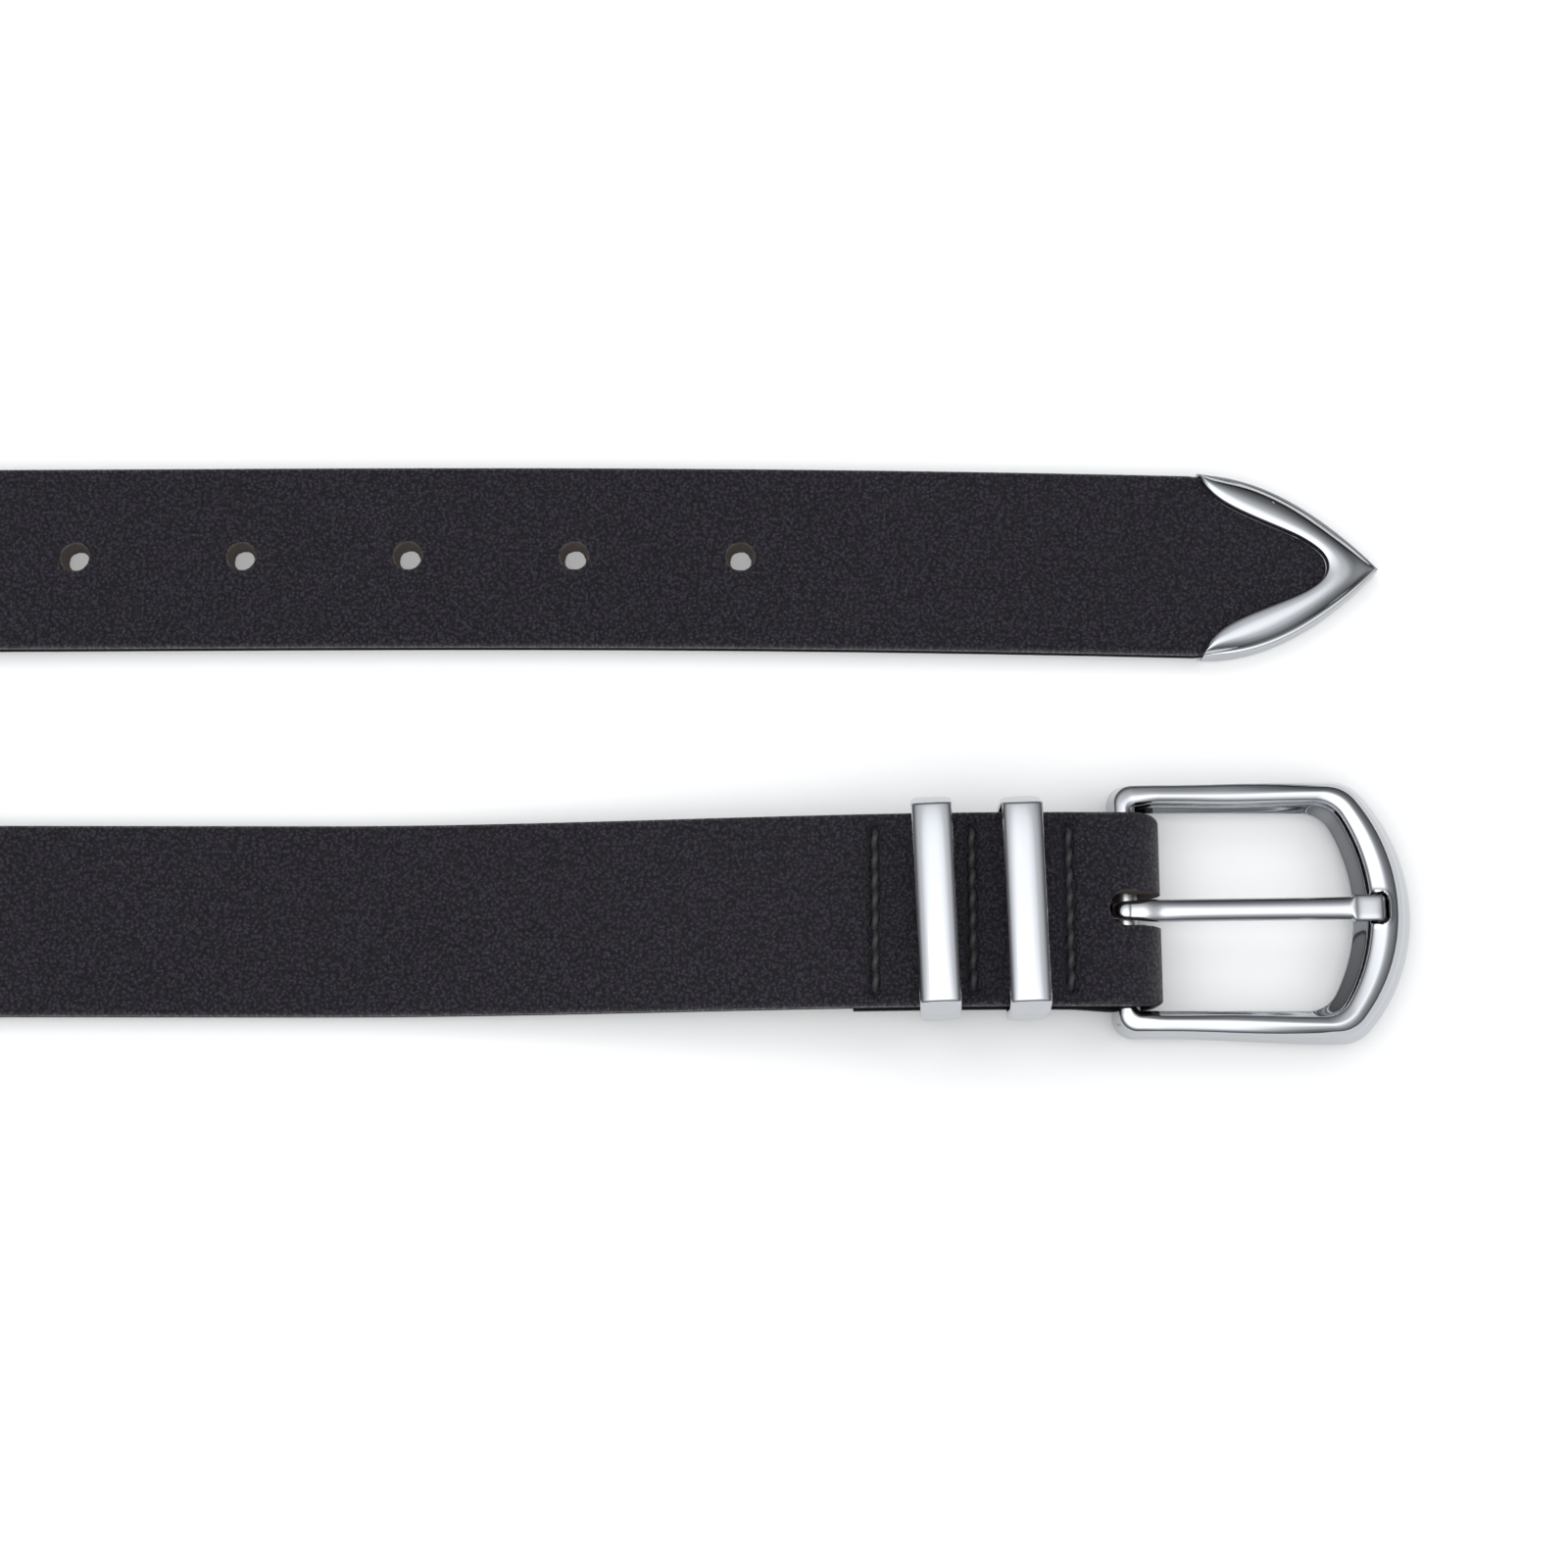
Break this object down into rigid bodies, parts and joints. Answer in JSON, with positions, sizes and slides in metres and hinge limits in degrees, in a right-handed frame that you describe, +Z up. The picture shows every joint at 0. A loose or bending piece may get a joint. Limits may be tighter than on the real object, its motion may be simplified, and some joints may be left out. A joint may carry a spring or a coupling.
{
  "type": "leather belt",
  "caption": "Black grained leather belt with a D-shaped metal buckle and prong, metal keepers, punched holes and a pointed metal tip, lying in a loop.",
  "frame": {"origin": "middle of the belt's outer box, on the surface that it lies on", "axes": "+X along the flat ends towards the buckle and tip, +Y across the strap from the buckle end to the tail, +Z up"},
  "size_m": [0.5038, 0.1208, 0.0282],
  "materials": {
    "grained_leather": "fine pebbled grain, satin",
    "backing": "matt bonded fibre",
    "thread": "waxed thread",
    "polished_metal": "mirror polished",
    "plain_metal": "fine brushed"
  },
  "bodies": {
    "strap": {"buckle_end_face": "grained_leather", "buckle_end_lining": "backing", "loop_face": "grained_leather", "loop_lining": "backing", "stitch_row_1": "thread", "stitch_row_2": "thread", "stitch_row_3": "thread"},
    "buckle": {"buckle_frame": "polished_metal", "buckle_bar": "plain_metal"},
    "prong": {"buckle_prong": "polished_metal"},
    "keeper_1": {"keeper_1": "polished_metal"},
    "keeper_2": {"keeper_2": "polished_metal"},
    "tail": {"tail_face": "grained_leather", "tail_lining": "backing", "tip_cap": "polished_metal", "tip_plate": "plain_metal", "tip_screws": "plain_metal"}
  },
  "joints": [
    {"name": "buckle_swing", "type": "hinge", "parent": "strap", "child": "buckle", "pos_m": [0.21055, -0.027, 0.005], "axis": [0, -1, 0], "range_deg": [0, 40]},
    {"name": "prong_swing", "type": "hinge", "parent": "buckle", "child": "prong", "pos_m": [0.21055, -0.027, 0.005], "axis": [0, -1, 0], "range_deg": [0, 45]},
    {"name": "keeper_1_slide", "type": "slide", "parent": "strap", "child": "keeper_1", "axis": [0.9998, 0, 0.0181], "range_m": [-0.0034, 0.003]},
    {"name": "keeper_2_slide", "type": "slide", "parent": "strap", "child": "keeper_2", "axis": [0.9985, 0, 0.0539], "range_m": [-0.0045, 0.0018]},
    {"name": "tail_bend", "type": "hinge", "parent": "strap", "child": "tail", "pos_m": [0.04055, 0.027, 0.003], "axis": [0, -1, 0], "range_deg": [0, 50]}
  ]
}
